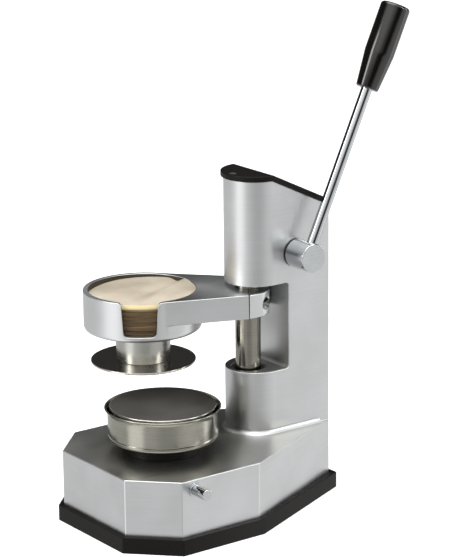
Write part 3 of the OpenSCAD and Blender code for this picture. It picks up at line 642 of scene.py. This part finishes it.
def makeBody():
    # The level tops under the head take a darker copy of the aluminium: painted shade from the head above
    # them
    casting = {"edge": 0.9, "edgeAngle": 22, "level": 0.98}
    piece = copyOfNode("body_casting", "bodyCasting", casting["edge"], degrees=casting["edgeAngle"])
    piece.data.materials.append(aluminium)
    piece.data.materials.append(paintedShadeAluminium)
    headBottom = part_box("press_arm")[0].z
    for face in piece.data.polygons:
        if face.normal.z > casting["level"] and face.center.z < headBottom:
            face.material_index = 1
    finishPiece(piece, "base", "aluminium_cast", None, "body_casting")

    tray = {"edge": 0.7}
    piece = copyOfNode("base_tray", "baseTray", tray["edge"], 2)
    finishPiece(piece, "base", "black_plastic", blackAbs, "base_tray")

    cover = {"edge": 0.8}
    piece = copyOfNode("column_cover", "columnCover", cover["edge"], 3)
    finishPiece(piece, "base", "black_plastic", blackAbs, "column_cover")

    screw = {"edge": 0.25}
    piece = copyOfNode("cover_screws", "coverScrews", screw["edge"], 2)
    finishPiece(piece, "base", "steel", zincScrew, "cover_screws")
    print("base, tray and cover are made")


def makeMould():
    low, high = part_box("mould_bowl")
    middle = centreOf("mould_bowl")
    bottom, top = low.z / mm, high.z / mm
    rimRadius = (high.x - low.x) / mm / 2
    bowl = {
        "wall": 1.2,
        "bore": 50.0,  # radius inside
        "hole": 8.0,  # radius of the hole for the ejector stem
        "bottomRound": 3.6,
        "beadHeight": 5.6,  # of the pressed line round the foot
        "bead": 0.35,
        "beadSlope": 0.45,
        "flareStart": 6.2,  # below the rim
        "flareOutside": [(0.12, 1.6), (0.7, 3.2), (1.5, 4.4)],  # outwards and up from its start
        "flareInside": [(1.1, 4.0), (0.4, 2.6), (0, 0)],
        "lip": 0.75,  # radius of the rolled edge
    }
    wall, bore = bowl["wall"], bowl["bore"]
    outer = bore + wall
    turn = bowl["bottomRound"]
    lip = bowl["lip"]
    lipRadius, lipHeight = rimRadius - lip, top - lip
    flareZ = top - bowl["flareStart"]
    beadZ = bottom + bowl["beadHeight"]
    bead, slope = bowl["bead"], bowl["beadSlope"]
    profile = (
        [(bowl["hole"], bottom)]
        + arcStations(outer - turn, bottom + turn, turn, -90, 0, 8)
        + [(outer, beadZ - 2 * slope), (outer - bead, beadZ - slope), (outer - bead, beadZ)]
        + [(outer, beadZ + slope), (outer, flareZ)]
        + [(outer + out, flareZ + up) for out, up in bowl["flareOutside"]]
        + arcStations(lipRadius, lipHeight, lip, -50, 150, 8)
        + [(bore + out, flareZ + up) for out, up in bowl["flareInside"]]
        + arcStations(bore - turn + wall, bottom + turn, turn - wall, 0, -90, 6)
        + [(bowl["hole"], bottom + wall)]
    )
    piece = turnedPiece("mouldBowl", profile, sides=160, closed=True)
    smoothBy(piece, 40)
    stainless = ringedMetal(
        "spun stainless sheet", "#96948A", "#A7A59B", 0.18, 0.8 * mm, centre=tuple(middle), bump=0.1
    )
    finishPiece(piece, "base", "stainless", stainless, "mould_bowl")

    # the foot holds the bowl up; its near-black colour is painted shade under the bowl
    foot = {"edge": 0.5}
    piece = copyOfNode("mould_foot", "mouldFoot", foot["edge"], 2)
    finishPiece(piece, "base", "foot_dark", paintedShadeFoot, "mould_foot")

    low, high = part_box("ejector_disc")
    bottom, top = low.z / mm, high.z / mm
    radius = (high.x - low.x) / mm / 2
    disc = {
        "edge": 0.6,  # rounded above, bevelled below
        "band": 0.8,  # bare metal round the coated top
        "bandSlope": 0.5,
        "dish": 0.25,
        "stemHole": 4.0,
        "centre": 0.4,  # radius of the last face, in the middle
    }
    edge = disc["edge"]
    coated = radius - disc["band"] - disc["bandSlope"]
    profile = (
        [(disc["stemHole"], bottom), (radius - edge, bottom), (radius, bottom + edge)]
        + arcStations(radius - edge, top - edge, edge, 0, 90, 6)
        + [(radius - disc["band"], top), (coated, top - disc["dish"])]
        + [(radius / 2, top - disc["dish"]), (disc["centre"], top - disc["dish"])]
    )
    piece = turnedPiece("ejectorDisc", profile, sides=160)
    smoothBy(piece, 40)
    coating = nonStickCoating()
    edgeMetal = ringedMetal("bare turned edge", "#C9C8C2", "#DDDCD6", 0.16, 0.6 * mm, bump=0.05)
    piece.data.materials.append(coating)
    piece.data.materials.append(edgeMetal)
    bandStart = (radius - disc["band"]) * mm
    for face in piece.data.polygons:
        place = face.center
        if math.hypot(place.x, place.y) > bandStart:
            face.material_index = 1
    finishPiece(piece, "ejector", "nonstick", None, "ejector_disc")
    print("mould and ejector disc are made")


def makeHead():
    arm = {
        "edge": 0.7,
        "boreBand": 1.0,  # the bored wall is found within this of the paper's edge
        "boreBelow": 0.1,  # and from this far under the paper
        "steep": 0.5,  # and only where the wall is steeper than this
    }
    piece = copyOfNode("press_arm", "pressArm", arm["edge"])
    piece.data.materials.append(aluminium)
    piece.data.materials.append(paintedBoreShade)
    low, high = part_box("paper_discs")
    centre = centreOf("paper_discs")
    boreRadius = (high.x - low.x) / 2
    # the ring's inner wall by the paper takes the dark brown copy: painted shade above the paper
    for face in piece.data.polygons:
        place = face.center
        fromAxis = math.hypot(place.x - centre.x, place.y - centre.y)
        inside = fromAxis < boreRadius + arm["boreBand"] * mm and place.z > low.z - arm["boreBelow"] * mm
        if inside and face.normal.z < arm["steep"]:
            face.material_index = 1
    finishPiece(piece, "head", "aluminium_cast", None, "press_arm")

    cap = {"edge": 1.0}
    piece = copyOfNode("arm_clamp_cap", "armClampCap", cap["edge"])
    finishPiece(piece, "head", "aluminium_cast", aluminium, "arm_clamp_cap")

    screws = {"edge": 0.4}
    piece = copyOfNode("clamp_screws", "clampScrews", screws["edge"], 2)
    finishPiece(piece, "head", "steel", blackScrew, "clamp_screws")

    centre = centreOf("plate_neck")
    low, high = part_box("plate_neck")
    neck = {
        "lowRadius": 24.7,
        "edge": 0.8,
        "bore": 4.0,
        "foot": [(0.25, 4), (1.0, 16)],  # outwards from the low radius, and up from the bottom
        "shoulder": [(1.6, 9), (0.7, 4), (0, 0.8), (0.4, 0)],  # inwards from the top's radius, and down
    }
    bottom, top = low.z / mm, high.z / mm
    topRadius = (high.x - low.x) / mm / 2
    edge = neck["edge"]
    profile = (
        [(neck["bore"], bottom)]
        + arcStations(neck["lowRadius"] - edge, bottom + edge, edge, -90, 0, 4)
        + [(neck["lowRadius"] + out, bottom + up) for out, up in neck["foot"]]
        + [(topRadius - into, top - down) for into, down in neck["shoulder"]]
        + [(neck["bore"], top)]
    )
    piece = turnedPiece("plateNeck", profile, sides=144, closed=True)
    putAt(piece, (centre.x, centre.y, 0))
    smoothBy(piece, 40)
    turned = ringedMetal(
        "turned aluminium", "#B0B0AA", "#C2C2BD", 0.3, 0.5 * mm, centre=(centre.x, centre.y, 0), bump=0.2
    )
    finishPiece(piece, "head", "aluminium_turned", turned, "plate_neck")

    low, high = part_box("press_plate")
    bottom, top = low.z / mm, high.z / mm
    radius = (high.x - low.x) / mm / 2
    plate = {
        "edge": 0.45,
        "bore": 4.0,
        "land": 0.2,  # straight length of the bore over the countersink
        "sink": 7.5,
        "sinkEdge": (1.6, 1.9),  # inwards and up, where the screw's head sits
    }
    edge = plate["edge"]
    inwards, upwards = plate["sinkEdge"]
    profile = (
        [(plate["bore"], top), (plate["bore"], top - plate["land"])]
        + [(plate["sink"] - inwards, bottom + upwards), (plate["sink"], bottom)]
        + arcStations(radius - edge, bottom + edge, edge, -90, 0, 4)
        + arcStations(radius - edge, top - edge, edge, 0, 90, 4)
    )
    piece = turnedPiece("pressPlate", profile, sides=160, closed=True)
    putAt(piece, (centre.x, centre.y, 0))
    smoothBy(piece, 40)
    onPlate = (centre.x, centre.y, 0)
    mirror = ringedMetal(
        "mirror polished steel", "#CDC8BE", "#DAD5CC", 0.05, 1.5 * mm, centre=onPlate, bump=0.02
    )
    finishPiece(piece, "head", "plate_polished", mirror, "press_plate")

    shaft = {"edge": 0.2}
    piece = copyOfNode("press_shaft", "pressShaft", shaft["edge"], 2)
    groundSteel = ringedMetal(
        "ground and polished shaft steel", "#85827A", "#9A978D", 0.12, 0.6 * mm, bump=0.08
    )
    finishPiece(piece, "carriage", "shaft_steel", groundSteel, "press_shaft")
    print("head and shaft are made")


def makePaper():
    low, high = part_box("paper_discs")
    centre = centreOf("paper_discs")
    bottom, top = low.z / mm, high.z / mm
    radius = (high.x - low.x) / mm / 2
    stack = {
        "bundles": 30,
        "evenness": 0.45,  # share by which the bundles' heights are evened out
        "ends": 0.02,  # share of the stack at each end with no cut
        "slip": 0.3,  # room for a bundle to lie off centre
        "slipUsed": 0.7,  # share of that room which is used
        "shrink": 0.5,  # how much smaller a bundle may be
        "edge": 0.18,
        "edgeShare": 0.3,  # of a bundle's height, where that is less
        "underSheet": 6.0,  # room left for the top sheets
        "seed": 7,
    }
    draw = random.Random(stack["seed"])
    edges = paperEdges(top * mm)
    stackTop = top - stack["underSheet"]
    ends, share = stack["ends"], stack["evenness"]
    places = sorted(draw.uniform(ends, 1 - ends) for _ in range(stack["bundles"] - 1))
    even = [(i + 1) / stack["bundles"] for i in range(stack["bundles"] - 1)]
    cuts = [0] + sorted((1 - share) * a + share * b for a, b in zip(places, even)) + [1]
    bundles = []
    for start, end in zip(cuts, cuts[1:]):
        z0 = bottom + (stackTop - bottom) * start
        z1 = bottom + (stackTop - bottom) * end
        size = radius - stack["slip"] - draw.uniform(0, stack["shrink"])
        used = stack["slipUsed"]
        slip = [draw.uniform(-used, used) * stack["slip"] for _ in range(2)]
        deselectAll()
        bpy.ops.mesh.primitive_cylinder_add(
            vertices=96,
            radius=size * mm,
            depth=(z1 - z0) * mm,
            location=(centre.x + slip[0] * mm, centre.y + slip[1] * mm, (z0 + z1) / 2 * mm),
        )
        bundle = bpy.context.active_object
        bpy.ops.object.transform_apply(location=True)
        roundEdges(bundle, min(stack["edge"], (z1 - z0) * stack["edgeShare"]), 2, 40)
        bundles.append(bundle)
    makeActive(bundles[0])
    for bundle in bundles:
        bundle.select_set(True)
    bpy.ops.object.join()
    piece = bundles[0]
    piece.name = "paperStack"
    smoothBy(piece, 30)
    finishPiece(piece, "head", "paper", edges, "paper_discs")

    # The top sheet: rings of a disc, cockled and folded by moving its points
    sheet = {
        "sides": 120,
        "rings": 30,
        "edgeDrop": 1.9,  # how far its edge lies under the top of the stack's space
        "rise": 2.0,  # crown of the sheet
        "lean": 2.2,  # how far it rises towards the column
        "leanWay": (0.74, 0.67),  # the side where it lies high
        "fold": 2.4,  # depth of the soft fold
        "foldWay": (-0.46, 0.89),  # along the fold
        "foldStart": (18.0, -10.0),
        "foldWidth": 5.5,
        "foldFade": 8,  # length over which the fold comes in
        "ridge": 0.6,  # height of the ridge beside the fold, as a share of its depth
        "ridgeOffset": 11,
        "cockle": 0.6,  # height of the cockles
        "cockleRate": (0.1, 0.085),  # radians for each millimetre, in x and y
        "cockleStart": (0.8, 0.4),
        "edgeWave": 0.35,
        "edgeWaves": 5,
        "edgeWaveStart": 0.6,
        "overhang": 0.3,  # past the stack's radius
        "thickness": 4.5,  # of the sheets that cockle together
    }
    deselectAll()
    bpy.ops.mesh.primitive_circle_add(
        vertices=sheet["sides"], radius=(radius + sheet["overhang"]) * mm, fill_type="NOTHING"
    )
    piece = bpy.context.active_object
    piece.name = "paperTopSheet"
    bpy.ops.object.mode_set(mode="EDIT")
    bpy.ops.mesh.select_all(action="SELECT")
    for ring in range(1, sheet["rings"]):
        share = (sheet["rings"] - ring) / (sheet["rings"] - ring + 1)
        bpy.ops.mesh.extrude_region_move()
        bpy.ops.transform.resize(value=(share, share, 1), center_override=(0, 0, 0))
    bpy.ops.mesh.edge_face_add()
    bpy.ops.object.mode_set(mode="OBJECT")
    leanWay, foldWay = Vector(sheet["leanWay"]), Vector(sheet["foldWay"])
    foldStart = Vector(sheet["foldStart"])
    (rateX, rateY), (startX, startY) = sheet["cockleRate"], sheet["cockleStart"]
    for point in piece.data.vertices:
        x, y = point.co.x / mm, point.co.y / mm
        share = math.hypot(x, y) / radius
        flat = Vector((x, y))
        height = top - sheet["edgeDrop"] + sheet["rise"] * (1 - share**2)
        height += sheet["lean"] * flat.dot(leanWay) / radius
        height += sheet["cockle"] * math.sin(x * rateX + startX) * math.cos(y * rateY + startY)
        wave = math.sin(sheet["edgeWaves"] * math.atan2(y, x) + sheet["edgeWaveStart"])
        height += sheet["edgeWave"] * share**3 * wave
        across = (flat - foldStart).dot(Vector((foldWay.y, -foldWay.x)))
        onWay = (flat - foldStart).dot(foldWay)
        fade = 1 / (1 + math.exp(-onWay / sheet["foldFade"]))
        height -= sheet["fold"] * fade * math.exp(-((across / sheet["foldWidth"]) ** 2))
        fromRidge = (across - sheet["ridgeOffset"]) / sheet["foldWidth"]
        height += sheet["fold"] * sheet["ridge"] * fade * math.exp(-(fromRidge**2))
        point.co.z = height * mm
    putAt(piece, (centre.x, centre.y, 0))
    piece.data.materials.append(waxedPaper())
    piece.data.materials.append(edges)
    makeActive(piece)
    bpy.ops.object.mode_set(mode="EDIT")
    bpy.ops.mesh.select_all(action="SELECT")
    bpy.ops.mesh.normals_make_consistent(inside=False)
    bpy.ops.object.mode_set(mode="OBJECT")
    thick = piece.modifiers.new("thickness", "SOLIDIFY")
    thick.thickness = sheet["thickness"] * mm
    thick.offset = -1
    thick.material_offset_rim = 1
    bpy.ops.object.modifier_apply(modifier=thick.name)
    smoothBy(piece, 50)
    finishPiece(piece, "head", "paper", None)
    print("paper is made")


def makeLever():
    # CAD shapes that only need their edges rounded
    parts = {
        "leverHub": {
            "node": "lever_hub",
            "body": "lever",
            "slot": "chrome",
            "edge": 0.7,
            "segments": 3,
        },
        "leverRod": {
            "node": "lever_rod",
            "body": "lever",
            "slot": "chrome",
            "edge": 0.3,
            "segments": 2,
        },
        "leverGrip": {
            "node": "lever_grip",
            "body": "lever",
            "slot": "grip_black",
            "edge": 0,
            "segments": 0,
        },
        "hubWasher": {
            "node": "hub_washer",
            "body": "lever",
            "slot": "black_plastic",
            "edge": 0.3,
            "segments": 2,
        },
        "releasePlunger": {
            "node": "release_plunger",
            "body": "plunger",
            "slot": "chrome",
            "edge": 0.7,
            "segments": 3,
        },
        "plungerSleeve": {
            "node": "plunger_sleeve",
            "body": "base",
            "slot": "chrome",
            "edge": 0.3,
            "segments": 2,
        },
    }
    finishes = {"chrome": chrome, "grip_black": glossyGrip(), "black_plastic": blackAbs}
    for name, part in parts.items():
        piece = copyOfNode(part["node"], name, part["edge"], part["segments"])
        finishPiece(piece, part["body"], part["slot"], finishes[part["slot"]], part["node"])
    print("lever and release knob are made")


def makeSpring(name, radius, wire, length, turns, place, turn):
    # A coil: a ring of wire that the Screw modifier winds up
    wireSides, stepsPerTurn = 12, 28
    deselectAll()
    bpy.ops.mesh.primitive_circle_add(
        vertices=wireSides,
        radius=wire / 2 * mm,
        fill_type="NOTHING",
        location=(radius * mm, 0, wire / 2 * mm),
        rotation=(math.radians(90), 0, 0),
    )
    piece = bpy.context.active_object
    piece.name = name
    bpy.ops.object.transform_apply(location=True, rotation=True)
    screw = piece.modifiers.new("winding", "SCREW")
    screw.axis = "Z"
    screw.angle = math.radians(360)
    screw.iterations = turns
    screw.screw_offset = (length - wire) / turns * mm
    screw.steps = screw.render_steps = stepsPerTurn
    screw.use_merge_vertices = False
    bpy.ops.object.modifier_apply(modifier=screw.name)
    bpy.ops.object.mode_set(mode="EDIT")
    bpy.ops.mesh.select_all(action="DESELECT")
    bpy.ops.mesh.select_mode(type="EDGE")
    bpy.ops.mesh.select_non_manifold()
    bpy.ops.mesh.fill_holes(sides=0)
    bpy.ops.mesh.select_all(action="SELECT")
    bpy.ops.mesh.normals_make_consistent(inside=False)
    bpy.ops.mesh.select_mode(type="VERT")
    bpy.ops.object.mode_set(mode="OBJECT")
    putAt(piece, place, turn)
    smoothBy(piece, 40)
    return piece


def makeSprings():
    # each coil is wound to its node's size; joint tells which way it lies, and travel is the joint's own
    springs = {
        "returnSpring": {
            "node": "return_spring",
            "wire": 2.5,
            "turns": 6,
            "joint": "head_slide",
            "travel": 25.4,
        },
        "ejectorSpring": {
            "node": "ejector_spring",
            "wire": 1.6,
            "turns": 5,
            "joint": "ejector_slide",
            "travel": 26.0,
        },
        "plungerSpring": {
            "node": "plunger_spring",
            "wire": 0.7,
            "turns": 7,
            "joint": "plunger_pull",
            "travel": 6.5,
        },
    }
    for name, spring in springs.items():
        node, wire, joint = spring["node"], spring["wire"], spring["joint"]
        low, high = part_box(node)
        size = high - low
        alongX = joint == "plunger_pull"
        length = (size.x if alongX else size.z) / mm
        radius = size.y / mm / 2 - wire / 2
        middle = centreOf(node)
        if alongX:
            place, turn = (low.x, middle.y, middle.z), (0, math.radians(90), 0)
        else:
            place, turn = (middle.x, middle.y, low.z), (0, 0, 0)
        piece = makeSpring(name, radius, wire, length, spring["turns"], place, turn)
        finishPiece(piece, "base", "spring_steel", springWire, node)
        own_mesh(piece)
    print("springs are made")


def finishInnerPieces():
    # CAD nodes whose shape is right as it is keep it and get their material
    finishes = {
        "steel": machinedSteel,
        "bronze": bronze,
        "black_plastic": blackAbs,
        "spring_steel": springWire,
    }
    slots = {part["node"]: part["material_slot"] for part in frame["record"]["subparts"]}
    for name, node in frame["nodes"].items():
        node.data.materials.clear()
        node.data.materials.append(finishes.get(slots[name], machinedSteel))
    print("inner pieces have their materials")


makeBody()
makeMould()
makeHead()
makePaper()
makeLever()
makeSprings()
finishInnerPieces()
